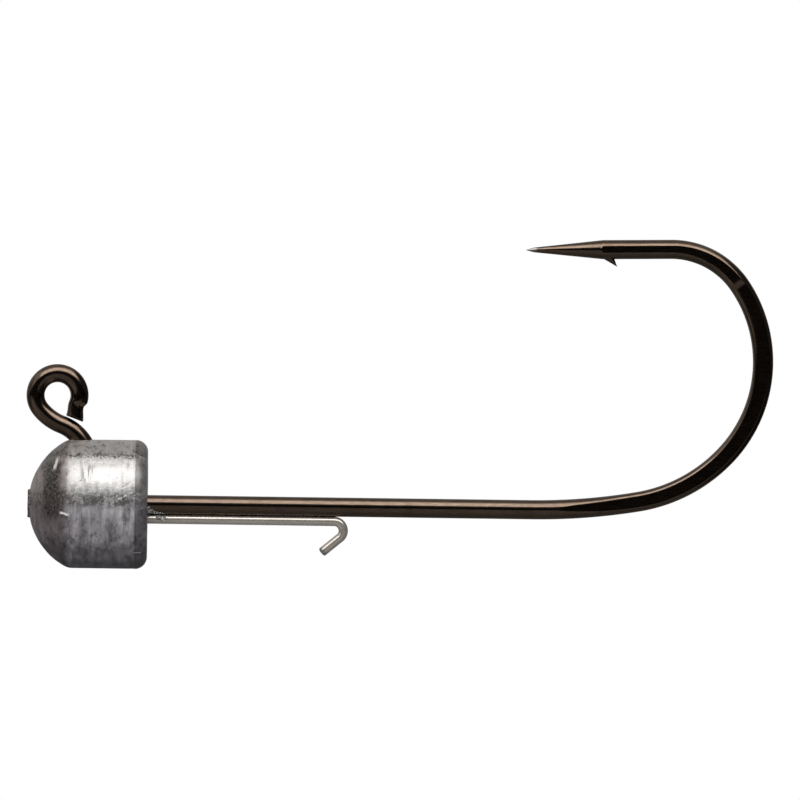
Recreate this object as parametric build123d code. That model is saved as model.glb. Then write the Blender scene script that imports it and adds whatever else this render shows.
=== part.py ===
from build123d import *
import os
from math import cos, radians, sin, tan

# A jig head: a blunt lead head cast on the front of a long-shank jig hook, with a wire bait keeper below
# the shank. Millimetres. The origin is where the shank's axis leaves the flat rear face of the head. +X runs
# back along the shank to the bend, +Z is the side of the line eye and of the hook's point, and the hook lies
# in the plane Y = 0.

# Lead head: a barrel with a domed nose
HEAD_DIAMETER = 6.45
BARREL_LENGTH = 3.97  # rear face to the corner where the dome starts
DOME_HEIGHT = 2.0
REAR_EDGE_SETBACK = 0.52  # of the rounded rear edge, along the barrel and down the rear face
REAR_EDGE_RADIUS = 0.62  # more than the setback, so the rounding meets the barrel at a slight corner
GATE_DIAMETER = 1.5  # stub left on the nose where the pouring gate was snipped off
GATE_HEIGHT = 0.05

# Hook wire
SHANK_DIAMETER = 0.965
EYE_WIRE_DIAMETER = 0.915
BEND_SPREAD = 0.06  # how much wider forging has made the bend, in the hook's plane
SHANK_LENGTH = 19.16  # rear face of the head to the start of the bend

# Bend, from the shank round to the spear: centre-line radius and turn in degrees of each tangent arc
BEND_ARCS = ((30.8, 10.0), (7.78, 37.3), (6.8, 77.4), (4.12, 56.3))

# Spear, point and barb
SPEAR_LENGTH = 3.4  # end of the bend to the start of the point's taper
POINT_LENGTH = 3.45
POINT_END_DIAMETER = 0.25  # where the long taper gives way to the honed tip
TIP_LENGTH = 0.4
TIP_DIAMETER = 0.03
BARB_LENGTH = 0.7  # along the spear, from its front root to its tip
BARB_HEIGHT = 0.38
BARB_ROOT = 0.46  # along the spear, from its front root to its back root
BARB_WIDTH = 0.36

# Forged flats on both sides of the bend and the spear
FLAT_DEPTH = 0.12  # below the round of the wire, in the bend
FLAT_START = 1.4  # past the start of the bend, where the flats begin
FLAT_RUN_IN = 3.2
SPEAR_FLAT_DEPTH = 0.035
SPEAR_FLAT_RUN_OUT = 0.5
DIE_EDGE_DEPTH = 1.7  # below the spear's axis, where the narrower flats of the spear take over

# Eye leg and closed line eye
LEG_ANGLE = 61.7  # from the shank, the 60 degree class of jig hook
LEG_BEND_RADIUS = 1.6
LEG_EXIT_SETBACK = 0.62  # from the front corner of the barrel back to where the leg leaves it
CROOK_SINK = 0.26  # the leg stays straight up to this depth below the top of the head
CROOK_RADIUS = 2.1
CROOK_TURN = 41.2
THROAT_RADIUS = 2.62
THROAT_TURN = 29.7
EYE_HOLE_DIAMETER = 1.285
EYE_TURN = 232.5
TAG_GAP = 0.05  # between the sheared end of the eye and the leg
TAG_LENGTH = 1.4  # before shearing
TAG_NECK_RUN = 0.5
TAG_NECK_DIAMETER = 0.8

# Bait keeper, a light stainless wire
KEEPER_DIAMETER = 0.47
KEEPER_GAP = 0.003  # between the keeper and the shank
KEEPER_LENGTH = 9.34  # rear face of the head to the start of its barb's bend
KEEPER_BEND_RADIUS = 0.46
KEEPER_TURN = 140.4
KEEPER_BARB_LENGTH = 1.22
KEEPER_EMBED = 2.6  # straight length inside the lead
ANCHOR_BEND_RADIUS = 0.4
ANCHOR_TURN = 75.0
ANCHOR_LENGTH = 0.7

head_radius = HEAD_DIAMETER / 2
shank_radius = SHANK_DIAMETER / 2
bend_radius = shank_radius + BEND_SPREAD / 2
eye_wire_radius = EYE_WIRE_DIAMETER / 2
past = 2.0  # how far a cutter runs past what it cuts


def chain(start, heading, steps):
    """Edges of a tangent path in the X-Z plane. A step is (length, 0) or, for an arc, (radius, turn)."""
    edges = []
    at, along = Vector(*start), Vector(cos(radians(heading)), sin(radians(heading)))
    for size, turn in steps:
        edge = JernArc(at, along, size, turn) if turn else Line(at, at + along * size)
        at, along = edge @ 1, edge % 1
        edges.append(edge)
    return edges


def cross_section(edge, end, radius):
    """Round section across one end of a path edge."""
    at, along = edge @ end, edge % end
    plane = Plane(origin=(at.X, 0, at.Y), x_dir=(0, 1, 0), z_dir=(along.X, 0, along.Y))
    return plane * Circle(radius)


def wire(edges, radii):
    """Round wire along a path, with its radius given at each end of each edge."""
    spans = []
    for edge, r_start, r_end in zip(edges, radii, radii[1:]):
        first, last = cross_section(edge, 0, r_start), cross_section(edge, 1, r_end)
        path = Plane.XZ * Wire([edge])
        if r_start == r_end:
            spans.append(sweep(first, path=path))
        elif edge.geom_type == GeomType.LINE:
            spans.append(loft([first, last], ruled=True))
        else:
            spans.append(sweep([first, last], path=path, multisection=True))
    return spans[0].fuse(*spans[1:]) if len(spans) > 1 else spans[0]


def plan_prism(half_widths, z_low, z_high):
    """Prism between two heights. Its plan is symmetric about Y = 0 and given as (x, half width) points."""
    outline = list(half_widths) + [(x, -y) for x, y in reversed(half_widths)]
    return extrude(Plane.XY.offset(z_low) * make_face(Polyline(*outline, close=True)), z_high - z_low)


def make_front():
    """Leg and line eye: up out of the head, round the eye and back to a sheared end beside the leg."""
    rise = head_radius - CROOK_SINK
    exit_x = LEG_EXIT_SETBACK - BARREL_LENGTH
    corner_x = exit_x + head_radius / tan(radians(LEG_ANGLE))
    tangent = LEG_BEND_RADIUS * tan(radians(LEG_ANGLE / 2))
    eye_radius = (EYE_HOLE_DIAMETER + EYE_WIRE_DIAMETER) / 2
    steps = (
        (LEG_BEND_RADIUS, -LEG_ANGLE),
        (rise / sin(radians(LEG_ANGLE)) - tangent, 0),
        (CROOK_RADIUS, CROOK_TURN),
        (THROAT_RADIUS, -THROAT_TURN),
        (eye_radius, -EYE_TURN),
        (TAG_NECK_RUN, 0),
        (TAG_LENGTH - TAG_NECK_RUN, 0),
    )
    edges = chain((corner_x + tangent, 0), 180, steps)
    leg = wire(edges[:5], [shank_radius] * 3 + [eye_wire_radius] * 3)
    tag = wire(edges[5:], (eye_wire_radius, TAG_NECK_DIAMETER / 2, eye_wire_radius))
    inflection, along = edges[2] @ 1, edges[2] % 1
    shear = Plane(origin=(inflection.X, 0, inflection.Y), x_dir=(0, 1, 0), z_dir=(along.Y, 0, -along.X))
    tag = split(tag, bisect_by=shear.offset(eye_wire_radius + TAG_GAP), keep=Keep.TOP)
    return leg.fuse(tag), corner_x + tangent


def make_barb(root, along):
    """Thorn lifted from the inner side of the spear, pointing back at the bend. Its root is on the axis."""
    inward = Vector(-along.Y, along.X)
    back = -along
    outline = (
        root + inward * shank_radius / 2,
        root + inward * shank_radius,
        root + inward * (shank_radius + BARB_HEIGHT) + back * BARB_LENGTH,
        root + inward * shank_radius + back * BARB_ROOT,
        root + inward * shank_radius / 2 + back * BARB_ROOT,
    )
    return extrude(Plane.XZ * make_face(Polyline(*outline, close=True)), BARB_WIDTH / 2, both=True)


def make_hook():
    """One piece of wire: line eye, leg, shank, forged bend, spear, barb and point."""
    front, shank_start = make_front()
    spear = (SPEAR_LENGTH, 0), (POINT_LENGTH, 0), (TIP_LENGTH, 0)
    edges = chain((shank_start, 0), 0, ((SHANK_LENGTH - shank_start, 0), *BEND_ARCS, *spear))
    radii = [shank_radius] * 2 + [(shank_radius + bend_radius) / 2, bend_radius, bend_radius]
    radii += [shank_radius] * 2 + [POINT_END_DIAMETER / 2, TIP_DIAMETER / 2]
    rear = wire(edges, radii)

    spear = edges[len(BEND_ARCS) + 1]
    x_low, x_high = -BARREL_LENGTH - DOME_HEIGHT, rear.bounding_box().max.X + past
    die_edge = (spear @ 0).Y - DIE_EDGE_DEPTH
    flat_start = SHANK_LENGTH + FLAT_START
    half_flat = bend_radius - FLAT_DEPTH
    slope = (shank_radius - half_flat) / FLAT_RUN_IN
    half_widths = (
        (x_low, shank_radius + slope * (flat_start - x_low)),
        (flat_start + FLAT_RUN_IN, half_flat),
        (x_high, half_flat),
    )
    bend_die = plan_prism(half_widths, -past, die_edge)
    barb_root = spear @ 1
    half_flat = shank_radius - SPEAR_FLAT_DEPTH
    half_widths = (
        (x_low, SHANK_DIAMETER),
        (barb_root.X - SPEAR_FLAT_RUN_OUT, SHANK_DIAMETER),
        (barb_root.X, half_flat),
        (x_high, half_flat),
    )
    spear_die = plan_prism(half_widths, die_edge, barb_root.Y + past)
    rear = rear & bend_die.fuse(spear_die)
    return front.fuse(rear, make_barb(barb_root, spear % 1))


def make_keeper():
    """Keeper wire: an anchor bent inside the lead, a run along the shank and a barb bent back under it."""
    z = -(shank_radius + KEEPER_GAP + KEEPER_DIAMETER / 2)
    radius = KEEPER_DIAMETER / 2
    run = (KEEPER_EMBED + KEEPER_LENGTH, 0)
    rear = chain((-KEEPER_EMBED, z), 0, (run, (KEEPER_BEND_RADIUS, -KEEPER_TURN), (KEEPER_BARB_LENGTH, 0)))
    anchor = chain((-KEEPER_EMBED, z), 180, ((ANCHOR_BEND_RADIUS, ANCHOR_TURN), (ANCHOR_LENGTH, 0)))
    return wire(rear, [radius] * 4).fuse(wire(anchor, [radius] * 3))


def make_head(hook, keeper):
    """Cast head, solid lead around the hook and the keeper."""
    nose_x = -BARREL_LENGTH - DOME_HEIGHT
    dome_radius = (head_radius**2 + DOME_HEIGHT**2) / (2 * DOME_HEIGHT)
    rear_rim = (0, head_radius - REAR_EDGE_SETBACK)
    rear_shoulder = (-REAR_EDGE_SETBACK, head_radius)
    dome_corner = (-BARREL_LENGTH, head_radius)
    outline = [
        Line((0, 0), rear_rim),
        RadiusArc(rear_rim, rear_shoulder, -REAR_EDGE_RADIUS),
        Line(rear_shoulder, dome_corner),
        RadiusArc(dome_corner, (nose_x, 0), -dome_radius),
        Line((nose_x, 0), (0, 0)),
    ]
    head = revolve(Plane.XZ * make_face(Wire(outline)), Axis.X)
    gate = Plane((nose_x - GATE_HEIGHT, 0, 0), z_dir=(1, 0, 0)) * Cylinder(
        GATE_DIAMETER / 2, DOME_HEIGHT, align=(Align.CENTER, Align.CENTER, Align.MIN)
    )
    return head.fuse(gate) - hook - keeper


hook = make_hook()
keeper = make_keeper()
os.makedirs("parts", exist_ok=True)
for name, solid in {"hook": hook, "bait_keeper": keeper, "lead_head": make_head(hook, keeper)}.items():
    export_step(solid, f"parts/{name}.step")
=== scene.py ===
import math

import bpy
import numpy as np
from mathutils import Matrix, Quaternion, Vector, noise

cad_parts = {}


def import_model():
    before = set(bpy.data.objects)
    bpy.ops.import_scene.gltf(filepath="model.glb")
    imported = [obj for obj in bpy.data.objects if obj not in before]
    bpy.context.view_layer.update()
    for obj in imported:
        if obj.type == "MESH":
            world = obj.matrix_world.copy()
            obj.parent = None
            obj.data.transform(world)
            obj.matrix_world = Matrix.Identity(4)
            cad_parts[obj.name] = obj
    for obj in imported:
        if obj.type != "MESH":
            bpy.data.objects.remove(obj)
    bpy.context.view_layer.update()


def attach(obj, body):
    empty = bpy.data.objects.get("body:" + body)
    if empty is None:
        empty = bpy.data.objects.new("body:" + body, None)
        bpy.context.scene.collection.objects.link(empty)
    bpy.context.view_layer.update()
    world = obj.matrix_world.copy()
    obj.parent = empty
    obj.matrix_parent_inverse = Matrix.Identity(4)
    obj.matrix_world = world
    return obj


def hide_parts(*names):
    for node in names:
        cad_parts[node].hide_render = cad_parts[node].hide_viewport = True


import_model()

# Lengths are in millimetres in the tables and helpers, and meshes are built in metres.
MM = 0.001

# Head, as the CAD part has it. The rear face is at x 0 and the nose at negative x.
HEAD_RADIUS = 3.225
BARREL_LENGTH = 3.97
DOME_HEIGHT = 2.0
REAR_EDGE_SETBACK = 0.52
REAR_EDGE_RADIUS = 0.62
GATE_RADIUS = 0.75
GATE_HEIGHT = 0.05

# Hook, as the CAD part has it. An arc is (radius, turn in degrees).
SHANK_RADIUS = 0.4825
EYE_WIRE_RADIUS = 0.4575
BEND_RADIUS = 0.5125
SPEAR_RADIUS = 0.4825
SHANK_LENGTH = 19.16
BEND_ARCS = ((30.8, 10.0), (7.78, 37.3), (6.8, 77.4), (4.12, 56.3))
SPEAR_LENGTH = 3.4
POINT_LENGTH = 3.45
POINT_END_RADIUS = 0.125
TIP_LENGTH = 0.4
TIP_RADIUS = 0.015
TIP_X = 18.765
FAR_OFF = 100.0  # farther than any part of the hook
BARB_LENGTH = 0.7
BARB_HEIGHT = 0.38
BARB_ROOT = 0.46
FLAT_DEPTH = 0.12
FLAT_START = 1.4
FLAT_RUN_IN = 3.2
SPEAR_FLAT_DEPTH = 0.035
SPEAR_FLAT_RUN_OUT = 0.5
DIE_EDGE_DEPTH = 1.7
LEG_ANGLE = 61.7
LEG_BEND_RADIUS = 1.6
LEG_EXIT_SETBACK = 0.62
CROOK_SINK = 0.26
CROOK = (2.1, 41.2)
THROAT = (2.62, 29.7)
EYE_RADIUS = 1.10
EYE_TURN = 232.5
TAG_GAP = 0.05

# Keeper, as the CAD part has it
KEEPER_RADIUS = 0.235
KEEPER_Z = -0.7205
KEEPER_LENGTH = 9.34
KEEPER_BEND = (0.46, 140.4)
KEEPER_BARB_LENGTH = 1.22
KEEPER_EMBED = 2.6
ANCHOR = (0.4, 75.0)
ANCHOR_LENGTH = 0.7

# What only the visual meshes have
EYE_SKIN = 0.0045  # how far the eye's wire lies inside the CAD's, whose mesh is flat between its points
WIRE_SKIN = 0.0005  # the same for the shank and the keeper, which nearly touch
HEAD_SKIN = 0.012  # the same for the casting, whose relief goes up and down from there
HIGHEST_RELIEF = 0.006
KEEPER_LIFT = 0.004  # closes the last gap between the keeper and the shank
KEEPER_BEVEL = 0.07
KEEPER_SHEAR = 0.25  # slope of the sheared end across the wire
KEEPER_END = -5.224  # where the sheared end lies along its barb's direction
KEEPER_BARB_TOP = -1.0  # the rings below this height are the turned-back barb's
SHEAR_REACH = 0.6  # how far back from the end the slant fades out
HOLE_CLEARANCE = 0.008
HOLE_START = 1.0  # how far behind the rear face the cutters for the holes start
NO_FLATS = 9.0  # a half thickness past any wire's radius, which leaves the wire round
LEAST_HALF_FLAT = 0.12  # the least half angle between the closer points at a section's sides, in radians
CRISP_EDGE = 0.02  # the most that the flats' edges are rounded over on the bend's outer side
DIE_EDGE_BLEND = 0.12  # half the height over which the bend's flats turn into the spear's

# Spacing of the samples along each path, and the sharpest smooth edge of each mesh, in degrees
FRONT_SPACING = 0.05
REAR_SPACING = 0.09
KEEPER_SPACING = 0.04
HOOK_HOLE_SPACING = 0.1
KEEPER_HOLE_SPACING = 0.2
HOOK_CREASE = 28
KEEPER_CREASE = 60
HEAD_CREASE = 24

# The eye's tag, from its sheared end back to the eye: share of the tag's length, radius, and how far the
# tag leans towards the leg's inner side
TAG_SHAPE = (
    (1.0, 0.426, 0.0), (0.994, 0.441, 0.0), (0.975, 0.445, 0.0), (0.93, 0.441, 0.0), (0.918, 0.457, 0.0),
    (0.895, 0.457, 0.0), (0.88, 0.439, 0.002), (0.83, 0.434, 0.006), (0.76, 0.428, 0.014),
    (0.66, 0.418, 0.03), (0.54, 0.408, 0.055), (0.42, 0.400, 0.074), (0.33, 0.396, 0.084),
    (0.26, 0.402, 0.076), (0.20, 0.415, 0.057), (0.14, 0.434, 0.031), (0.08, 0.448, 0.012),
    (0.02, 0.453, 0.002),
)

# Tongues of flash at the rear face: the wire's centre height and radius, then rows of x, lowest and
# highest angle round the wire in degrees, and lift
FLASHES = (
    (0.0, SHANK_RADIUS, (
        (-0.06, -66, -10, 0.05), (0.10, -62, -16, 0.04), (0.25, -62, -30, 0.03), (0.42, -66, -40, 0.035),
        (0.58, -68, -47, 0.045), (0.72, -68, -53, 0.04), (0.85, -66, -60, 0.02),
    )),
    (KEEPER_Z, KEEPER_RADIUS, (
        (-0.06, 10, 66, 0.03), (0.15, 30, 66, 0.02), (0.38, 36, 62, 0.02), (0.50, -8, 60, 0.04),
        (0.66, -24, 52, 0.055), (0.82, -18, 40, 0.05), (0.97, 4, 22, 0.02),
    )),
)

# Fine curved scores on the head's near side, each a parabola in x and z: centre x, centre z, half length,
# slope, curve, half width and depth
SCORES = (
    (-1.20, 0.42, 0.40, 0.67, 0.50, 0.026, -0.013),
    (-0.62, 0.62, 0.34, -0.25, -0.90, 0.026, -0.012),
    (-0.60, 0.32, 0.32, -0.35, -1.00, 0.026, -0.013),
    (-2.10, 0.27, 0.38, 0.30, 0.30, 0.026, -0.010),
    (-0.48, -2.42, 0.20, 0.05, 0.00, 0.026, -0.012),
    (-3.10, 1.30, 0.40, 0.90, 0.40, 0.026, -0.010),
    (-0.40, 2.38, 0.34, -0.55, 0.10, 0.024, -0.008),
    (-0.36, -0.24, 0.30, 0.28, 0.60, 0.024, -0.008),
    (-1.05, 0.95, 0.30, 0.60, 0.40, 0.024, -0.010),
)
SCORE_FADE = 0.6  # share of a score's half length where it begins to fade

# The offset from one seed of noise to the next, and the roughness and frequency step of its octaves
SEED_STEP = (17.3, -9.1, 5.7)
OCTAVE_ROUGHNESS = 0.8
OCTAVE_STEP = 2.0

# Studio and camera, in metres and degrees
CENTRE = Vector((0.01255, 0, 0.0054))
FRAME_WIDTH = 0.040
LENS = 1500.0
SENSOR = 36.0
NEAREST, FARTHEST = 0.01, 20.0
ROLL = 0.761
FLOOR_Z = -0.19
FLOOR_RADIUS = 2.0
KEY_ROLL = 6
KEY_SIDE = 0.05  # how far the softboxes stand to the right, as a share of their distance
# name, elevation, distance, size and radiance
SOFTBOXES = (("key_edge", 57.5, 0.52, (0.84, 0.50), 0.85), ("key_middle", 53, 0.5, (0.72, 0.32), 1.9))
# what the metal reflects: elevation seen from the front against brightness, all the way round
LEVELS = (
    (-180, 0.28), (-139, 0.14), (-112, 0.145), (-76, 0.17), (-61, 0.205), (-48, 0.25), (-30, 0.265),
    (-16, 0.255), (-9, 0.20), (-6, 0.09), (-3, 0.02), (2, 0.01), (20, 0.02), (26, 0.08), (30, 0.4),
    (33, 0.62), (82, 0.56), (90, 0.42), (104, 0.35), (140, 0.40), (180, 0.30),
)
# how far to the side a reflection points, from -1 at the left to 1 at the right, against brightness
SIDES = (
    (-1, 0.6), (-0.94, 0.45), (-0.88, 0.9), (-0.78, 1.5), (-0.62, 1.5), (-0.5, 1), (0.45, 1), (0.6, 0.3),
    (0.75, 0.12), (1, 0.14),
)


# Geometry helpers

def step_length(size, turn):
    """Length of one step of a path: (length, 0) for a run, or (radius, turn in degrees) for an arc."""
    return abs(math.radians(turn)) * size if turn else size


def stations(steps):
    """Distance along a path at its start and at the end of each step."""
    return np.cumsum([0] + [step_length(*step) for step in steps])


def follow(start, heading, steps, spacing):
    """Samples of a tangent path in the X-Z plane: points, unit tangents and distance along it."""
    x, z, angle = start[0], start[1], math.radians(heading)
    points, headings, distances, travelled = [(x, z)], [angle], [0.0], 0.0
    for size, turn in steps:
        length = step_length(size, turn)
        count = max(2, int(round(length / spacing)))
        curvature = math.copysign(1 / size, turn) if turn else 0.0
        for i in range(1, count + 1):
            d = length * i / count
            if turn:
                new = angle + curvature * d
                px = x + (math.sin(new) - math.sin(angle)) / curvature
                pz = z - (math.cos(new) - math.cos(angle)) / curvature
            else:
                new, px, pz = angle, x + d * math.cos(angle), z + d * math.sin(angle)
            points.append((px, pz))
            headings.append(new)
            distances.append(travelled + d)
        (x, z), angle, travelled = points[-1], headings[-1], travelled + length
    tangents = [(math.cos(a), math.sin(a)) for a in headings]
    return np.array(points), np.array(tangents), np.array(distances)


def noise_field(points, scale, seed, octaves=3):
    """Smooth noise of about -1 to 1 at each point, with features of about scale in size."""
    offset = Vector([seed * step for step in SEED_STEP])
    scale = Vector(scale) if hasattr(scale, "__len__") else Vector((scale,) * 3)
    return np.array([
        noise.fractal(
            Vector((p[0] / scale.x, p[1] / scale.y, p[2] / scale.z)) + offset,
            OCTAVE_ROUGHNESS, OCTAVE_STEP, octaves,
        )
        for p in points
    ])


def smoothstep(low, high, x):
    t = np.clip((x - low) / (high - low), 0, 1)
    return t * t * (3 - 2 * t)


def hump(x, centre, width):
    """1 at centre, falling away smoothly to both sides."""
    return np.exp(-((x - centre) / width) ** 2)


def mesh_object(name, points, faces):
    """A smooth mesh object from points in millimetres."""
    mesh = bpy.data.meshes.new(name)
    mesh.from_pydata([tuple(MM * c for c in p) for p in points], [], faces)
    mesh.update()
    for polygon in mesh.polygons:
        polygon.use_smooth = True
    obj = bpy.data.objects.new(name, mesh)
    bpy.context.scene.collection.objects.link(obj)
    return obj


def skin(name, rings):
    """A closed tube through rings of the same number of points, with its two ends capped."""
    n = len(rings[0])
    points = [p for ring in rings for p in ring]
    faces = []
    for k in range(len(rings) - 1):
        a, b = k * n, (k + 1) * n
        faces += [(a + i, a + (i + 1) % n, b + (i + 1) % n, b + i) for i in range(n)]
    for k, flip in ((0, True), (len(rings) - 1, False)):
        centre = len(points)
        points.append(np.mean(rings[k], axis=0))
        for i in range(n):
            a, b = k * n + i, k * n + (i + 1) % n
            faces.append((b, a, centre) if flip else (a, b, centre))
    return mesh_object(name, points, faces)


def boolean(obj, other, operation):
    """Applies a boolean with another object and removes that object."""
    modifier = obj.modifiers.new(operation, "BOOLEAN")
    modifier.operation, modifier.object, modifier.solver = operation, other, "MANIFOLD"
    depsgraph = bpy.context.evaluated_depsgraph_get()
    mesh = bpy.data.meshes.new_from_object(obj.evaluated_get(depsgraph))
    obj.modifiers.clear()
    obj.data = mesh
    bpy.data.objects.remove(other)


def sharpen(obj, angle):
    """Smooth shading that breaks at edges sharper than angle, in degrees."""
    for polygon in obj.data.polygons:
        polygon.use_smooth = True
    obj.data.set_sharp_from_angle(angle=math.radians(angle))


# Wire

def ring_angles(half_flat):
    """Angles round the wire's section from its in-plane normal, closer together at its two flats' edges."""
    edge = half_flat * np.array([-0.24, -0.18, -0.12, -0.06, 0.0, 0.06, 0.12, 0.18, 0.24])
    middle = math.pi / 2
    flat = np.concatenate([
        middle - half_flat + edge, np.linspace(-0.7, 0.7, 9) * half_flat + middle, middle + half_flat + edge,
    ])
    first, last = middle + half_flat + edge[-1], 3 * middle - half_flat - edge[-1]
    side = np.linspace(first, last, 25)[1:-1]
    return np.concatenate([flat, side, flat + math.pi, side + math.pi])


def section(centre, tangent, radius, half_thickness=NO_FLATS, soft=0.0):
    """One ring of round wire with its two sides pressed flat, at half_thickness from the hook's plane.

    The flats' edges are rounded over by soft, except that the ones on the bend's outer side stay crisp.
    """
    half_flat = max(LEAST_HALF_FLAT, math.acos(min(1.0, half_thickness / radius)))
    angles = ring_angles(half_flat)
    across, depth = radius * np.cos(angles), radius * np.sin(angles)
    if half_thickness < radius * 0.999:
        soft = np.where(across > 0, soft, min(soft, CRISP_EDGE))
        over = np.clip(np.abs(depth) - (half_thickness - soft), 0, 2 * soft)
        kept = np.minimum(np.abs(depth), half_thickness - soft) + over - over**2 / (4 * soft)
        depth = np.sign(depth) * kept
    normal = np.array([-tangent[1], 0.0, tangent[0]])
    origin = np.array([centre[0], 0.0, centre[1]])
    return origin + np.outer(across, normal) + np.outer(depth, (0.0, 1.0, 0.0))


def wire_rings(points, tangents, radii):
    """Rings of a wire that stays round."""
    return [section(*each) for each in zip(points, tangents, radii)]


# Hook

def front_steps():
    """Where the leg's bend starts on the shank's axis, and the steps from there to the eye's end."""
    angle = math.radians(LEG_ANGLE)
    tangent = LEG_BEND_RADIUS * math.tan(angle / 2)
    start = LEG_EXIT_SETBACK - BARREL_LENGTH + HEAD_RADIUS / math.tan(angle) + tangent
    run = (HEAD_RADIUS - CROOK_SINK) / math.sin(angle) - tangent
    return start, [
        (LEG_BEND_RADIUS, -LEG_ANGLE), (run, 0), CROOK, (THROAT[0], -THROAT[1]), (EYE_RADIUS, -EYE_TURN),
    ]


def front_rings(start, steps):
    """The hook's front, from the tag's sheared end through the eye and the leg to the shank."""
    points, tangents, along = follow((start, 0), 180, steps, FRONT_SPACING)
    crook_start, crook_end = stations(steps)[2:4]
    radii = np.interp(along, (crook_start, crook_end), (SHANK_RADIUS - WIRE_SKIN, EYE_WIRE_RADIUS - EYE_SKIN))
    wire = wire_rings(points, -tangents, radii)[::-1]
    inflection = np.argmin(abs(along - crook_end))
    return tag_rings(points[inflection], tangents[inflection], points[-1], tangents[-1]) + wire


def tag_rings(inflection, heading, end, direction):
    """The eye's tag beyond the eye's end: necked where the forming tool held it, then flared and sheared.

    It is sheared along the wire that passes inflection with that heading.
    """
    shear_normal = np.array([heading[1], 0, -heading[0]])
    shear_origin = np.array([inflection[0], 0, inflection[1]]) + shear_normal * (EYE_WIRE_RADIUS + TAG_GAP)
    ahead = np.array([direction[0], 0, direction[1]])
    sideways = np.array([direction[1], 0, -direction[0]])
    rings = []
    for share, radius, lean in TAG_SHAPE:
        ring = section(end, -direction, radius)
        reach = ((shear_origin - ring) @ shear_normal) / (ahead @ shear_normal)
        rings.append(ring + np.outer(reach * share, ahead) + sideways * lean)
    return rings


def forged_thickness(points, spear_z, spear_end_x):
    """Half the wire's thickness between its flats at each point, and the share of it that is the spear's."""
    # ahead of the flats, and past the spear's end, the thickness stays clear of the wire
    start, run_up, clear = SHANK_LENGTH + FLAT_START, 10, 0.2
    in_bend = np.interp(
        points[:, 0], (start - run_up * FLAT_RUN_IN, start, start + FLAT_RUN_IN),
        (SHANK_RADIUS + run_up * FLAT_DEPTH, SHANK_RADIUS, BEND_RADIUS - FLAT_DEPTH),
    )
    in_spear = np.interp(
        points[:, 0], (spear_end_x - SPEAR_FLAT_RUN_OUT, spear_end_x),
        (SPEAR_RADIUS + clear, SPEAR_RADIUS - SPEAR_FLAT_DEPTH),
    )
    die_edge = spear_z - DIE_EDGE_DEPTH
    share = smoothstep(die_edge - DIE_EDGE_BLEND, die_edge + DIE_EDGE_BLEND, points[:, 1])
    return in_bend * (1 - share) + in_spear * share, share


def rear_rings(start):
    """The shank, the forged bend, the spear and the point, with the barb's root and its heading."""
    steps = [(SHANK_LENGTH - start, 0), *BEND_ARCS, (SPEAR_LENGTH, 0), (POINT_LENGTH, 0), (TIP_LENGTH, 0)]
    points, tangents, along = follow((start, 0), 0, steps, REAR_SPACING)
    marks = stations(steps)
    (shank_end, first_arc_end), (spear_start, spear_end) = marks[1:3], marks[5:7]
    half = (SHANK_RADIUS + BEND_RADIUS) / 2
    radii = np.interp(along, marks, (
        SHANK_RADIUS, SHANK_RADIUS, half, BEND_RADIUS, BEND_RADIUS, SPEAR_RADIUS, SPEAR_RADIUS,
        POINT_END_RADIUS, TIP_RADIUS,
    ))
    radii -= np.interp(along, (shank_end, first_arc_end), (WIRE_SKIN, 4 * WIRE_SKIN))
    root = np.searchsorted(along, spear_end - 1e-6)
    spear_z = points[np.searchsorted(along, spear_start)][1]
    thickness, in_spear = forged_thickness(points, spear_z, points[root][0])
    # the forged shoulders are soft in the bend and crisp along the spear
    bend_soft, spear_soft, least = 0.8, 0.35, 0.003
    softness = np.clip(radii - thickness, least, None) * (bend_soft * (1 - in_spear) + spear_soft * in_spear)
    rings = [section(*each) for each in zip(points, tangents, radii, thickness, softness)]
    return rings[1:], points[root], tangents[root]


def barb_object(root, tangent):
    """The thorn raised from the inner side of the spear: a chip of the wire, flat on top, curved below."""
    half_width, tip_half_width, taper = 0.27, 0.006, 0.75
    sink, root_start, belly = 0.12, 0.16, 0.25
    back_low = SPEAR_RADIUS * 0.4
    along = np.array([tangent[0], 0, tangent[1]])
    inward = np.array([-tangent[1], 0, tangent[0]])
    base = np.array([root[0], 0, root[1]])
    rings = []
    for share in np.linspace(0, 1, 15):
        width = half_width * (1 - share) ** taper + tip_half_width
        front = SPEAR_RADIUS - sink + (BARB_HEIGHT + sink) * share
        back = back_low + (BARB_HEIGHT + SPEAR_RADIUS - back_low) * share
        start = -BARB_LENGTH * share + root_start * (1 - share)
        stop = -BARB_ROOT - (BARB_LENGTH - BARB_ROOT) * share
        ring = []
        for angle in np.linspace(0, 2 * math.pi, 24, endpoint=False):
            f, w = 0.5 - 0.5 * math.cos(angle), math.sin(angle)
            lengthwise = start + (stop - start) * f
            height = front + (back - front) * f - belly * width * w * w
            ring.append(base + along * lengthwise + inward * height + np.array([0, width * w, 0]))
        rings.append(ring)
    return skin("barb", rings)


def hook_object():
    """The whole hook as one swept wire: eye tag, eye, leg, shank, forged bend, spear, barb and point."""
    start, steps = front_steps()
    rear, root, heading = rear_rings(start)
    hook = skin("hook_wire", front_rings(start, steps) + rear)
    boolean(hook, barb_object(root, heading), "UNION")
    sharpen(hook, HOOK_CREASE)
    return hook


# Keeper

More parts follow.
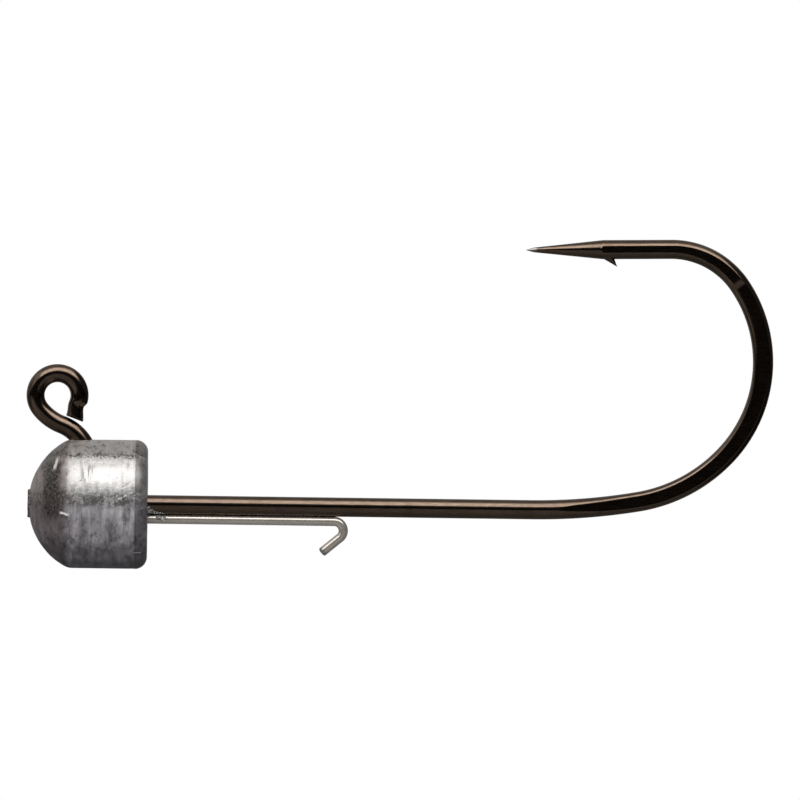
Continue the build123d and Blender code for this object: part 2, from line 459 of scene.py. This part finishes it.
def keeper_object():
    """The keeper wire, with its turned anchor, its turned-back barb and a sheared end with a soft rim."""
    forward = [(KEEPER_EMBED + KEEPER_LENGTH, 0), (KEEPER_BEND[0], -KEEPER_BEND[1]), (KEEPER_BARB_LENGTH, 0)]
    start, radius = (-KEEPER_EMBED, KEEPER_Z + KEEPER_LIFT), KEEPER_RADIUS - WIRE_SKIN
    points, tangents, _ = follow(start, 0, forward, KEEPER_SPACING)
    back_points, back_tangents, _ = follow(start, 180, [ANCHOR, (ANCHOR_LENGTH, 0)], KEEPER_SPACING)
    points = np.concatenate([back_points[::-1], points[1:]])
    tangents = np.concatenate([-back_tangents[::-1], tangents[1:]])
    rings = wire_rings(points[:-1], tangents[:-1], [radius] * (len(points) - 1))
    end, ahead = points[-1], tangents[-1]
    for step in (0, 0.3, 0.55, 0.75, 0.88, 0.96, 1.0):
        inset = KEEPER_BEVEL * (1 - math.sqrt(1 - step**2))
        rings.append(section(end - ahead * KEEPER_BEVEL * (1 - step), ahead, radius - inset))
    rings.append(section(end, ahead, radius / 2))
    # the end is sheared at a slant, shorter on the near side
    for ring in rings:
        if ring[:, 2].mean() < KEEPER_BARB_TOP:
            behind = (end - ring[:, ::2].mean(axis=0)) @ ahead
            slant = KEEPER_SHEAR * max(0.0, 1 - behind / SHEAR_REACH) * (radius - ring[:, 1])
            ring -= np.outer(slant, (ahead[0], 0, ahead[1]))
    keeper = skin("keeper_wire", rings)
    sharpen(keeper, KEEPER_CREASE)
    return keeper


# Head

def head_profile():
    """Close points of the head's outline from the nose to the rear face's centre, as (x, radius)."""
    nose = -BARREL_LENGTH - DOME_HEIGHT
    gate = nose - GATE_HEIGHT
    dome = (HEAD_RADIUS**2 + DOME_HEIGHT**2) / (2 * DOME_HEIGHT)
    gate_lift = dome - math.sqrt(dome**2 - GATE_RADIUS**2)
    first = math.asin(GATE_RADIUS / dome)
    last = math.asin(HEAD_RADIUS / dome)
    # the gate's stub, with its edge broken
    edge_width, edge_drop, edge_step = 0.05, 0.03, 0.01
    out = [(gate, r) for r in np.linspace(0.0, GATE_RADIUS - edge_width, 14)]
    out += [(gate + edge_drop, GATE_RADIUS - edge_step)]
    out += [(gate + (GATE_HEIGHT + gate_lift) * f, GATE_RADIUS) for f in (0.6, 1.0)]
    out += [(nose + dome * (1 - math.cos(a)), dome * math.sin(a)) for a in np.linspace(first, last, 110)[1:]]
    out += [(x, HEAD_RADIUS) for x in np.linspace(-BARREL_LENGTH, -REAR_EDGE_SETBACK, 130)[1:]]
    # the rear edge's rounding meets the barrel and the rear face at slight corners
    half = math.asin(REAR_EDGE_SETBACK / math.sqrt(2) / REAR_EDGE_RADIUS)
    middle = math.pi / 4
    centre_x = -REAR_EDGE_SETBACK - REAR_EDGE_RADIUS * math.sin(middle - half)
    centre_r = HEAD_RADIUS - REAR_EDGE_RADIUS * math.cos(middle - half)
    out += [
        (centre_x + REAR_EDGE_RADIUS * math.sin(a), centre_r + REAR_EDGE_RADIUS * math.cos(a))
        for a in np.linspace(middle - half, middle + half, 26)[1:]
    ]
    out += [(0.0, r) for r in np.linspace(HEAD_RADIUS - REAR_EDGE_SETBACK, 0.0, 60)[1:]]
    return soften_corner(np.array(out))


def soften_corner(outline, reach=0.45, rounds=60):
    """The outline with the corner between dome and barrel a little soft, as it is cast."""
    near = np.abs(outline[:, 0] + BARREL_LENGTH) < reach
    for _ in range(rounds):
        middle = outline[1:-1] * 0.5 + (outline[:-2] + outline[2:]) * 0.25
        outline[1:-1] = np.where(near[1:-1, None], middle, outline[1:-1])
    return outline


def casting_points(profile, around):
    """The casting's skin: the outline turned about the head's axis, with the relief of poured lead."""
    turns = np.linspace(0, 2 * math.pi, around, endpoint=False)
    steps = np.gradient(profile, axis=0)
    steps /= np.linalg.norm(steps, axis=1)[:, None] + 1e-12
    normals = np.stack([-steps[:, 1], steps[:, 0]], axis=1)
    points, directions = (
        np.array([(x, -r * math.cos(a), r * math.sin(a)) for x, r in rows[1:-1] for a in turns])
        for rows in (profile, normals)
    )
    points += directions * head_relief(points)[:, None]
    # the snipped gate's edge is ragged, and lies a little inside its nominal circle
    shrink, raggedness = 0.05, 0.13
    radius = np.hypot(points[:, 1], points[:, 2])
    unit = points[:, 1:] / (radius[:, None] + 1e-9)
    gate = smoothstep(1.0, 0.72, radius) * (points[:, 0] < -5.8)
    ragged = noise_field(np.column_stack([unit, np.zeros(len(unit))]), 0.35, 9)
    points[:, 1:] *= (1 - shrink * gate + raggedness * gate * ragged)[:, None]
    return points


def casting_object():
    """The closed casting, before its holes are cut."""
    profile, around = head_profile(), 560
    points = casting_points(profile, around)
    count = len(points)
    last = count - around
    faces = []
    for a in range(0, last, around):
        b = a + around
        faces += [(a + i, b + i, b + (i + 1) % around, a + (i + 1) % around) for i in range(around)]
    for i in range(around):
        faces.append((count, i, (i + 1) % around))
        faces.append((count + 1, last + (i + 1) % around, last + i))
    points = np.concatenate([points, [(profile[0][0], 0, 0), (profile[-1][0], 0, 0)]])
    return mesh_object("lead_casting", points, faces)


def hook_hole():
    """The hook's tunnel through the head: along the shank from behind the rear face, then up the leg."""
    start, steps = front_steps()
    path, tangents, _ = follow((start, 0), 180, steps[:4], HOOK_HOLE_SPACING)
    path = np.concatenate([[(HOLE_START, 0.0)], path])
    tangents = np.concatenate([[(-1.0, 0.0)], tangents])
    return skin("hook_hole", wire_rings(path, -tangents, [SHANK_RADIUS + HOLE_CLEARANCE] * len(path))[::-1])


def keeper_hole():
    """The straight part of the keeper's tunnel."""
    steps = [(KEEPER_EMBED + HOLE_START, 0)]
    path, tangents, _ = follow((-KEEPER_EMBED, KEEPER_Z), 0, steps, KEEPER_HOLE_SPACING)
    return skin("keeper_hole", wire_rings(path, tangents, [KEEPER_RADIUS + HOLE_CLEARANCE] * len(path)))


def head_object():
    """The cast head: the CAD outline with the skin of poured lead, holes for both wires, and flash."""
    head = casting_object()
    boolean(head, hook_hole(), "DIFFERENCE")
    boolean(head, keeper_hole(), "DIFFERENCE")
    for flash in FLASHES:
        boolean(head, flash_object(*flash), "UNION")
    sharpen(head, HEAD_CREASE)
    return head


def flash_object(centre_z, radius, rows):
    """A thin tongue of lead that ran out along a wire at the rear face, on the wire's near side."""
    above, below, around = 0.004, 0.02, 15  # its least height over the wire, its depth in it, and its points
    low_shift, high_shift, bulge_shift = 7, 9, 0.5  # how ragged its two edges are, in degrees, and its lift
    rows = np.array(rows)
    rings = []
    for x in np.linspace(rows[0, 0], rows[-1, 0], 40):
        low, high, lift = (np.interp(x, rows[:, 0], rows[:, k]) for k in (1, 2, 3))
        ragged = [
            noise.fractal(Vector((x * 7.0, side, radius * 20)), OCTAVE_ROUGHNESS, OCTAVE_STEP, 3)
            for side in (0.0, 7.0, 13.0)
        ]
        angles = np.radians(np.linspace(low + low_shift * ragged[0], high + high_shift * ragged[1], around))
        bulge = (0.75 + bulge_shift * ragged[2]) * np.sin(np.linspace(0, math.pi, around)) ** 0.4
        outer = [(radius + above + lift * b, a) for a, b in zip(angles, bulge)]
        inner = [(radius - below, a) for a in angles[::-1]]
        rings.append(np.array([(x, -r * math.cos(a), centre_z + r * math.sin(a)) for r, a in outer + inner]))
    return skin("flash", rings)


def head_relief(points):
    """How far the casting's skin stands above or below the nominal outline."""
    x, y, z = points.T
    radius = np.hypot(y, z)
    barrel = smoothstep(-4.3, -3.9, x) * (1 - smoothstep(-0.66, -0.56, x))
    outside = smoothstep(2.0, 3.0, radius)
    # each layer is a depth times noise of a size and a seed: swells, ripples across the barrel, and grain
    relief = 0.010 * noise_field(points, 2.2, 1, 2) + 0.007 * noise_field(points, 0.8, 2)
    relief += 0.005 * noise_field(points, (0.24, 0.9, 0.9), 3) * barrel
    relief += 0.0022 * noise_field(points, 0.16, 4)
    # bands of small pits: under the top of the barrel, below the bright face and round the dome's corner
    rows = hump(z, 2.44, 0.14) + 0.9 * hump(z, 0.35, 0.35)
    rows += 1.2 * hump(x, -4.5, 0.3) * smoothstep(-1.2, -0.4, z)
    relief -= 0.022 * np.clip(rows, 0, 1.2) * np.clip(noise_field(points, 0.3, 8) + 0.05, 0, 1) * outside
    relief += scratches(x, y, z)
    # the low seam where the mould's halves met
    seam = hump(y, 0, 0.045) * outside * (x > -5.9) * (x < -0.02)
    relief += 0.014 * seam * (0.6 + 0.8 * np.clip(noise_field(points, 1.1, 5, 2), -0.6, 0.6))
    # the face torn where the gate was snipped
    gate = smoothstep(GATE_RADIUS * 1.05, GATE_RADIUS * 0.9, radius) * (x < -5.5)
    relief += gate * (0.045 * noise_field(points, 0.26, 6) - 0.025)
    return np.minimum(relief, HIGHEST_RELIEF) - HEAD_SKIN


def scratches(x, y, z):
    """The relief of the scores at each point."""
    total = np.zeros(len(x))
    for centre_x, centre_z, half, slope, curve, width, depth in SCORES:
        dx = x - centre_x
        line = centre_z + slope * dx + curve * dx**2
        across = (z - line) / (width * np.sqrt(1 + slope**2))
        fade = smoothstep(half, half * SCORE_FADE, np.abs(dx))
        total += depth * np.exp(-across**2) * fade * (y < 0)
    return total


# Materials

def material(name):
    m = bpy.data.materials.new(name)
    m.use_nodes = True
    tree = m.node_tree
    return m, tree, tree.nodes["Principled BSDF"]


def plug(tree, socket, value):
    """Gives an input an output socket, a grey, a colour or another plain value."""
    if isinstance(value, bpy.types.NodeSocket):
        tree.links.new(value, socket)
    elif socket.type == "RGBA":
        socket.default_value = rgba(value)
    else:
        socket.default_value = value


def rgba(colour):
    """A colour with alpha, from a colour or a grey."""
    return (*colour, 1) if hasattr(colour, "__len__") else (colour, colour, colour, 1)


def node(tree, kind, inputs=(), **settings):
    """Adds a node. Inputs are (name or index, value or output socket) pairs."""
    n = tree.nodes.new(kind)
    for key, value in settings.items():
        setattr(n, key, value)
    for key, value in inputs:
        plug(tree, n.inputs[key], value)
    return n


def position(tree, scale=(1, 1, 1)):
    """Object coordinates in millimetres, stretched by scale."""
    coordinates = node(tree, "ShaderNodeTexCoord").outputs["Object"]
    in_mm = tuple(s / MM for s in scale)
    return node(tree, "ShaderNodeMapping", [("Vector", coordinates), ("Scale", in_mm)]).outputs["Vector"]


def axes(tree):
    """The three object coordinates in millimetres."""
    split = node(tree, "ShaderNodeSeparateXYZ", [("Vector", position(tree))])
    return [split.outputs[name] for name in "XYZ"]


def ramp(tree, factor, *stops):
    """A colour ramp with (position, colour or grey) stops."""
    n = node(tree, "ShaderNodeValToRGB", [("Fac", factor)])
    elements = n.color_ramp.elements
    while len(elements) < len(stops):
        elements.new(0.5)
    for element, (at, colour) in zip(elements, stops):
        element.position = at
        element.color = rgba(colour)
    return n.outputs["Color"]


def noise_texture(tree, scale, detail=4, roughness=0.55):
    """Noise with about scale features in a millimetre along each axis."""
    return node(tree, "ShaderNodeTexNoise", [
        ("Vector", position(tree, scale)), ("Scale", 1.0), ("Detail", detail), ("Roughness", roughness),
    ]).outputs["Fac"]


def bump(tree, height, strength, distance, under=None):
    """Bump of a height in millimetres, over another bump where one is given."""
    inputs = [("Height", height), ("Strength", strength), ("Distance", distance * MM)]
    if under is not None:
        inputs.append(("Normal", under))
    return node(tree, "ShaderNodeBump", inputs).outputs["Normal"]


def mix(tree, factor, first, second, **settings):
    """A colour mix. The node's colours are its inputs 6 and 7 and its output 2."""
    inputs = [("Factor", factor), (6, first), (7, second)]
    return node(tree, "ShaderNodeMix", inputs, data_type="RGBA", **settings).outputs[2]


def tint(tree, colour, by):
    """Multiplies one colour by another."""
    return mix(tree, 1.0, colour, by, blend_type="MULTIPLY")


def blend(tree, mask, first, second):
    """First where the mask is 0, second where it is 1."""
    return mix(tree, mask, first, second)


def stain(tree, base, mask, colour):
    """Multiplies the base by a colour where the mask is 1."""
    return tint(tree, base, blend(tree, mask, 1.0, colour))


def math_node(tree, operation, *values):
    return node(tree, "ShaderNodeMath", list(enumerate(values)), operation=operation).outputs[0]


def times(tree, first, second):
    return math_node(tree, "MULTIPLY", first, second)


def plus(tree, first, second):
    return math_node(tree, "ADD", first, second)


def scaled(tree, value, factor, added):
    """The value times a factor, plus what is added."""
    return math_node(tree, "MULTIPLY_ADD", value, factor, added)


def off(tree, value, centre=0.0):
    """How far the value is from centre, to either side."""
    return math_node(tree, "ABSOLUTE", plus(tree, value, -centre))


def greater(tree, first, second):
    return math_node(tree, "MAXIMUM", first, second)


def band(tree, value, low, high):
    """0 at low and beyond, 1 at high and beyond, smooth between. Low may be the greater."""
    return node(tree, "ShaderNodeMapRange", [
        ("Value", value), ("From Min", low), ("From Max", high),
    ], interpolation_type="SMOOTHSTEP").outputs["Result"]


def set_inputs(tree, shader, **inputs):
    """Gives the shader its inputs, named with underscores for spaces."""
    for name, value in inputs.items():
        plug(tree, shader.inputs[name.replace("_", " ")], value)


def bronze_nickel():
    """Dark bronze-toned black nickel plating on drawn wire, honed bright at the hook's point."""
    m, tree, shader = material("black_nickel_wire")
    x, _, z = axes(tree)
    patch = noise_texture(tree, (0.9, 1.4, 1.4), 3)
    colour = ramp(
        tree, patch, (0.3, (0.128, 0.091, 0.065)), (0.5, (0.155, 0.113, 0.083)), (0.7, (0.149, 0.102, 0.081)),
    )
    drawn = noise_texture(tree, (2.2, 20, 20), 4, 0.6)
    colour = tint(tree, colour, ramp(tree, drawn, (0.35, 0.72), (0.6, 1.08)))
    # below the point's height x is moved far off, so that nothing else is honed
    below_point = band(tree, z, 12.0, 11.0)
    honed = band(tree, scaled(tree, below_point, FAR_OFF, x), TIP_X + 0.62, TIP_X + 0.40)
    fine = noise_texture(tree, (1.2, 14, 14), 5, 0.6)
    set_inputs(
        tree, shader, Base_Color=blend(tree, honed, colour, (0.36, 0.35, 0.34)), Metallic=1.0,
        Roughness=ramp(tree, fine, (0.3, 0.07), (0.75, 0.17)), Normal=bump(tree, fine, 0.25, 0.004),
    )
    return m


def stainless():
    """Drawn stainless spring wire, with painted shade round the rim of its sheared end, and darker on that
    end's face.
    """
    m, tree, shader = material("stainless_wire")
    x, y, z = axes(tree)
    patch = noise_texture(tree, (1.5, 3, 3), 3)
    colour = ramp(tree, patch, (0.3, (0.49, 0.442, 0.395)), (0.7, (0.55, 0.50, 0.45)))
    drawn = noise_texture(tree, (1.3, 16, 16), 4, 0.6)
    colour = tint(tree, colour, ramp(tree, drawn, (0.35, 0.93), (0.6, 1.03)))
    heading = math.radians(KEEPER_BEND[1])
    outward = plus(tree, times(tree, x, math.cos(heading)), times(tree, z, -math.sin(heading)))
    sheared = plus(tree, outward, scaled(tree, y, -KEEPER_SHEAR, KEEPER_SHEAR * KEEPER_RADIUS))
    on_barb = band(tree, z, -1.3, -1.5)
    rim = times(tree, band(tree, sheared, KEEPER_END - 0.16, KEEPER_END - 0.10), on_barb)
    cut = times(tree, band(tree, sheared, KEEPER_END - 0.020, KEEPER_END - 0.006), on_barb)
    # painted shade round the sheared end's rim
    colour = blend(tree, rim, colour, (0.36, 0.345, 0.32))
    colour = blend(tree, cut, colour, (0.20, 0.20, 0.18))
    fine = noise_texture(tree, (1.0, 18, 18), 5, 0.6)
    set_inputs(
        tree, shader, Base_Color=colour, Metallic=0.76,
        Roughness=ramp(tree, fine, (0.3, 0.19), (0.75, 0.28)), Normal=bump(tree, fine, 0.06, 0.003),
    )
    return m


def lead():
    """Bare cast lead: bright where rubbed, streaked with dull blue-grey oxide on its lower half, with painted
    shade and painted highlights laid over it.
    """
    m, tree, shader = material("cast_lead")
    noises = {
        "patch": noise_texture(tree, (0.7, 0.55, 0.55), 7, 0.66),
        "streak": noise_texture(tree, (5.5, 0.9, 0.9), 6, 0.62),
        "drips": noise_texture(tree, (2.0, 0.75, 0.75), 7, 0.70),
        "mottle": noise_texture(tree, (3.0, 2.4, 2.4), 8, 0.72),
        "speck": noise_texture(tree, (8, 7, 7), 6, 0.7),
        "grain": noise_texture(tree, (14, 12, 12), 5, 0.65),
    }
    streak, mottle, grain = (noises[name] for name in ("streak", "mottle", "grain"))
    xyz = axes(tree)
    # a wavering offset, so that no stain's edge is straight
    uneven = plus(tree, scaled(tree, mottle, 1.7, -0.85), scaled(tree, noises["drips"], 1.4, -0.7))
    edge = plus(tree, xyz[2], uneven)
    oxide = band(tree, edge, 0.3, -0.3)
    base = blend(tree, oxide, bright_lead(tree, xyz, noises), dull_lead(tree, noises))
    base = painted_light_on_lead(tree, base, xyz, uneven, edge, mottle)
    # painted shade round the dome's corner
    corner = painted_corner_shade(tree, xyz, uneven, edge, noises["speck"])
    # near black, laid on as painted shade and on the snipped gate
    base = blend(tree, painted_shade_and_dark_gate(tree, xyz, uneven, corner, noises), base, (0.016, 0.014, 0.013))
    base = lead_marks(tree, base, xyz, uneven, noises)
    wear = ramp(tree, mottle, (0.3, 0.20), (0.5, 0.30), (0.7, 0.44))
    normal = bump(tree, mottle, 0.6, 0.03, bump(tree, streak, 0.4, 0.02))
    # the painted corner shade also lowers the specular level there
    set_inputs(
        tree, shader, Base_Color=base, Specular_IOR_Level=blend(tree, corner, 0.5, 0.12),
        Metallic=blend(tree, oxide, 0.52, 0.40), Roughness=blend(tree, oxide, wear, 0.48),
        Normal=bump(tree, grain, 0.5, 0.006, normal),
    )
    return m


def bright_lead(tree, xyz, noises):
    """The rubbed metal's colour, with a patch of worn dark streaks."""
    x, _, z = xyz
    colour = ramp(
        tree, noises["patch"], (0.30, (0.36, 0.346, 0.338)), (0.46, (0.45, 0.436, 0.425)),
        (0.60, (0.50, 0.486, 0.475)), (0.74, (0.55, 0.536, 0.527)),
    )
    colour = tint(tree, colour, ramp(tree, noises["streak"], (0.34, 0.68), (0.46, 0.96), (0.62, 1.05)))
    worn = times(tree, band(tree, off(tree, x, -3.02), 0.42, 0.12), band(tree, off(tree, z, 1.5), 0.62, 0.2))
    worn = times(tree, worn, band(tree, noises["streak"], 0.56, 0.44))
    colour = stain(tree, colour, worn, (0.42, 0.42, 0.41))
    return tint(tree, colour, ramp(tree, noises["mottle"], (0.33, 0.45), (0.43, 0.92), (0.60, 1.04)))


def dull_lead(tree, noises):
    """The oxide's colour."""
    colour = ramp(
        tree, noises["drips"], (0.33, (0.15, 0.143, 0.153)), (0.45, (0.26, 0.246, 0.263)),
        (0.55, (0.325, 0.307, 0.331)), (0.66, (0.44, 0.418, 0.448)),
    )
    colour = tint(tree, colour, ramp(tree, noises["streak"], (0.35, 0.74), (0.5, 1.0), (0.65, 1.15)))
    return tint(tree, colour, ramp(tree, noises["mottle"], (0.34, 0.46), (0.45, 0.94), (0.62, 1.08)))


def painted_light_on_lead(tree, base, xyz, uneven, edge, mottle):
    """Paints shade into the base on the dome, along the barrel's top and bottom and low on the oxide, with a
    painted highlight line under the top and painted shade in spots along it.
    """
    x, _, z = xyz
    # painted shade low on the oxide, darker towards the bottom
    base = stain(tree, base, band(tree, edge, -1.0, -2.5), (0.36, 0.36, 0.37))
    # painted shade on the dome
    dome = band(tree, scaled(tree, uneven, 0.25, x), -3.85, -4.25)
    base = stain(tree, base, dome, (0.53, 0.468, 0.45))
    # painted shade along the barrel's top
    crest_shade = band(tree, scaled(tree, uneven, 0.10, z), 2.34, 2.46)
    base = stain(tree, base, crest_shade, (0.70, 0.685, 0.67))
    # a painted highlight line runs under the top of the barrel
    crest_highlight = times(tree, band(tree, z, 1.95, 2.15), band(tree, z, 2.46, 2.34))
    base = stain(tree, base, crest_highlight, (1.2, 1.19, 1.18))
    # painted shade along the bottom
    base = stain(tree, base, band(tree, z, -2.65, -2.95), (0.6, 0.6, 0.6))
    # painted shade in spots along the barrel's top
    crest_spot_shade = times(tree, crest_shade, band(tree, mottle, 0.44, 0.38))
    return stain(tree, base, crest_spot_shade, (0.55, 0.53, 0.52))


def painted_corner_shade(tree, xyz, uneven, edge, speck):
    """Where painted shade darkens the dome's corner."""
    x, _, z = xyz
    corner = band(tree, off(tree, scaled(tree, uneven, 0.5, x), -4.80), 0.66, 0.24)
    corner = times(tree, corner, band(tree, edge, -1.3, -0.3))
    corner = times(tree, corner, band(tree, z, 3.0, 1.9))
    return times(tree, corner, ramp(tree, speck, (0.42, 1.0), (0.62, 0.45)))


def painted_shade_and_dark_gate(tree, xyz, uneven, corner, noises):
    """All dark marks: painted shade round the dome's corner, along two lines of the barrel and on the rear
    edge, and the darker snipped gate.
    """
    x, _, z = xyz
    # painted shade along a broken line under the barrel's top
    top_line_shade = band(tree, off(tree, scaled(tree, uneven, 0.30, z), 2.41), 0.20, 0.03)
    top_line_shade = times(tree, top_line_shade, band(tree, noises["speck"], 0.46, 0.54))
    # painted shade along the dark band below the bright face
    low_line_shade = band(tree, off(tree, scaled(tree, uneven, 0.4, z), 0.22), 0.50, 0.12)
    low_line_shade = times(tree, low_line_shade, band(tree, noises["mottle"], 0.44, 0.52))
    # painted shade on the rear edge's rounding
    rear = times(tree, band(tree, x, -0.66, -0.6), ramp(tree, noises["patch"], (0.35, 0.72), (0.65, 0.42)))
    rear = times(tree, rear, band(tree, x, 0.04, 0.0))
    # the snipped gate is darker
    shade_and_gate = times(tree, band(tree, x, -5.88, -5.94), 0.6)
    for mask, strength in ((corner, 0.95), (top_line_shade, 0.8), (low_line_shade, 0.75), (rear, 1.0)):
        shade_and_gate = greater(tree, shade_and_gate, times(tree, mask, strength))
    return shade_and_gate


def lead_marks(tree, base, xyz, uneven, noises):
    """A painted highlight and a painted sheen near the dome's corner, clean metal on the scores' lips, and
    the flash along the wires.
    """
    x, y, z = xyz
    speck = noises["speck"]
    # a short painted highlight that slopes down to the rear, ragged with specks
    along = plus(tree, x, 4.13)
    across = scaled(tree, along, 0.22, plus(tree, z, 0.50))
    across = scaled(tree, speck, 0.30, plus(tree, across, -0.15))
    fleck_highlight = times(tree, band(tree, off(tree, across), 0.075, 0.03), band(tree, off(tree, along), 0.30, 0.12))
    # a softer upright painted sheen above it
    along = plus(tree, z, -2.0)
    across = scaled(tree, along, -0.33, scaled(tree, uneven, 0.12, plus(tree, x, 4.58)))
    painted_sheen = times(tree, band(tree, off(tree, across), 0.10, 0.03), band(tree, off(tree, along), 0.40, 0.15))
    lips = times(tree, score_lips(tree, x, z), ramp(tree, speck, (0.42, 0.1), (0.60, 0.75)))
    near_side = band(tree, y, 0.4, -0.4)
    for mask, colour in (
        (fleck_highlight, (0.85, 0.83, 0.81)), (painted_sheen, (0.62, 0.585, 0.575)), (lips, (0.62, 0.61, 0.60)),
    ):
        base = blend(tree, times(tree, mask, near_side), base, colour)
    flash = ramp(
        tree, noises["grain"], (0.40, (0.05, 0.045, 0.042)), (0.50, (0.26, 0.25, 0.24)),
        (0.60, (0.62, 0.60, 0.58)),
    )
    return blend(tree, band(tree, x, 0.02, 0.05), base, flash)


def score_lips(tree, x, z):
    """1 on the raised lip beside each score, where the metal is clean."""
    total = None
    for centre_x, centre_z, half, slope, curve, width, _ in SCORES:
        dx = plus(tree, x, -centre_x)
        line = scaled(tree, scaled(tree, dx, curve, slope), dx, centre_z)
        across = off(tree, math_node(tree, "SUBTRACT", z, line), width)
        fade = band(tree, off(tree, dx), half, half * SCORE_FADE)
        lip = times(tree, band(tree, across, 1.1 * width, 0.3 * width), fade)
        total = lip if total is None else greater(tree, total, lip)
    return total


def pale_floor():
    """The sweep's almost white, faintly uneven surface."""
    m, tree, shader = material("pale_floor")
    speckle = noise_texture(tree, (0.02, 0.02, 0.02), 2)
    set_inputs(tree, shader, Base_Color=ramp(tree, speckle, (0.3, 0.90), (0.7, 0.93)), Roughness=0.8)
    return m


# Studio

def softbox(name, elevation, distance, size, radiance):
    """A rectangular area light in front of the object and above it, facing it."""
    angle = math.radians(elevation)
    direction = Vector((KEY_SIDE, -math.cos(angle), math.sin(angle))).normalized()
    data = bpy.data.lights.new(name, "AREA")
    data.shape, data.size, data.size_y = "RECTANGLE", size[0], size[1]
    data.energy = radiance * math.pi * size[0] * size[1]
    obj = bpy.data.objects.new(name, data)
    bpy.context.scene.collection.objects.link(obj)
    obj.location = CENTRE + direction * distance
    obj.rotation_mode = "QUATERNION"
    roll = Quaternion((0, 0, 1), math.radians(KEY_ROLL))
    obj.rotation_quaternion = direction.to_track_quat("Z", "Y") @ roll
    obj.visible_camera = False


def world():
    """White for the camera, and for reflections a dark room with pale reflectors round the softboxes."""
    studio = bpy.data.worlds.new("studio")
    bpy.context.scene.world = studio
    studio.use_nodes = True
    tree = studio.node_tree
    direction = node(tree, "ShaderNodeTexCoord").outputs["Generated"]
    split = node(tree, "ShaderNodeSeparateXYZ", [("Vector", direction)])
    x, y, z = (split.outputs[name] for name in "XYZ")
    elevation = math_node(tree, "ARCTAN2", z, times(tree, y, -1.0))
    upright = scaled(tree, elevation, 1 / (2 * math.pi), 0.5)
    sideways = scaled(tree, x, 0.5, 0.5)
    height = scaled(tree, z, 0.5, 0.5)
    reflected = tint(
        tree, ramp(tree, upright, *((0.5 + level / 360, k) for level, k in LEVELS)),
        ramp(tree, sideways, *((0.5 + 0.5 * side, k) for side, k in SIDES)),
    )
    scattered = tint(
        tree, ramp(tree, height, (0.1, 0.30), (0.5, 0.75), (0.8, 1.0)),
        ramp(tree, sideways, (0.0, 0.5), (0.3, 1.0), (0.65, 1.0), (1.0, 0.25)),
    )
    rays = node(tree, "ShaderNodeLightPath")
    light = blend(tree, rays.outputs["Is Diffuse Ray"], 1.0, scattered)
    light = blend(tree, rays.outputs["Is Glossy Ray"], light, reflected)
    set_inputs(tree, tree.nodes["Background"], Color=light, Strength=1.0)


def floor():
    """A wide pale disc under the object, left out of its reflections."""
    bpy.ops.mesh.primitive_circle_add(
        vertices=96, radius=FLOOR_RADIUS, fill_type="NGON", location=(0, 0, FLOOR_Z),
    )
    disc = bpy.context.object
    disc.name = "pale_floor"
    disc.data.materials.append(pale_floor())
    disc.visible_glossy = False


def camera():
    """A long lens level with the object and rolled a little, as the object lies in the photo."""
    data = bpy.data.cameras.new("camera")
    obj = bpy.data.objects.new("camera", data)
    bpy.context.scene.collection.objects.link(obj)
    data.lens, data.sensor_width = LENS, SENSOR
    data.clip_start, data.clip_end = NEAREST, FARTHEST
    distance = FRAME_WIDTH * LENS / SENSOR
    level = Quaternion((1, 0, 0), math.radians(90))
    obj.rotation_mode = "QUATERNION"
    obj.rotation_quaternion = Quaternion((0, 1, 0), math.radians(-ROLL)) @ level
    obj.location = CENTRE + Vector((0, -distance, 0))
    bpy.context.scene.camera = obj


camera()
world()
for light in SOFTBOXES:
    softbox(*light)
floor()
for piece, cad_node, slot, look in (
    (hook_object(), "hook", "hook_wire", bronze_nickel()),
    (keeper_object(), "bait_keeper", "keeper_wire", stainless()),
    (head_object(), "lead_head", "cast_lead", lead()),
):
    piece.data.materials.clear()
    piece.data.materials.append(look)
    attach(piece, "root")
    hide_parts(cad_node)
bpy.context.scene.view_settings.view_transform = "Standard"
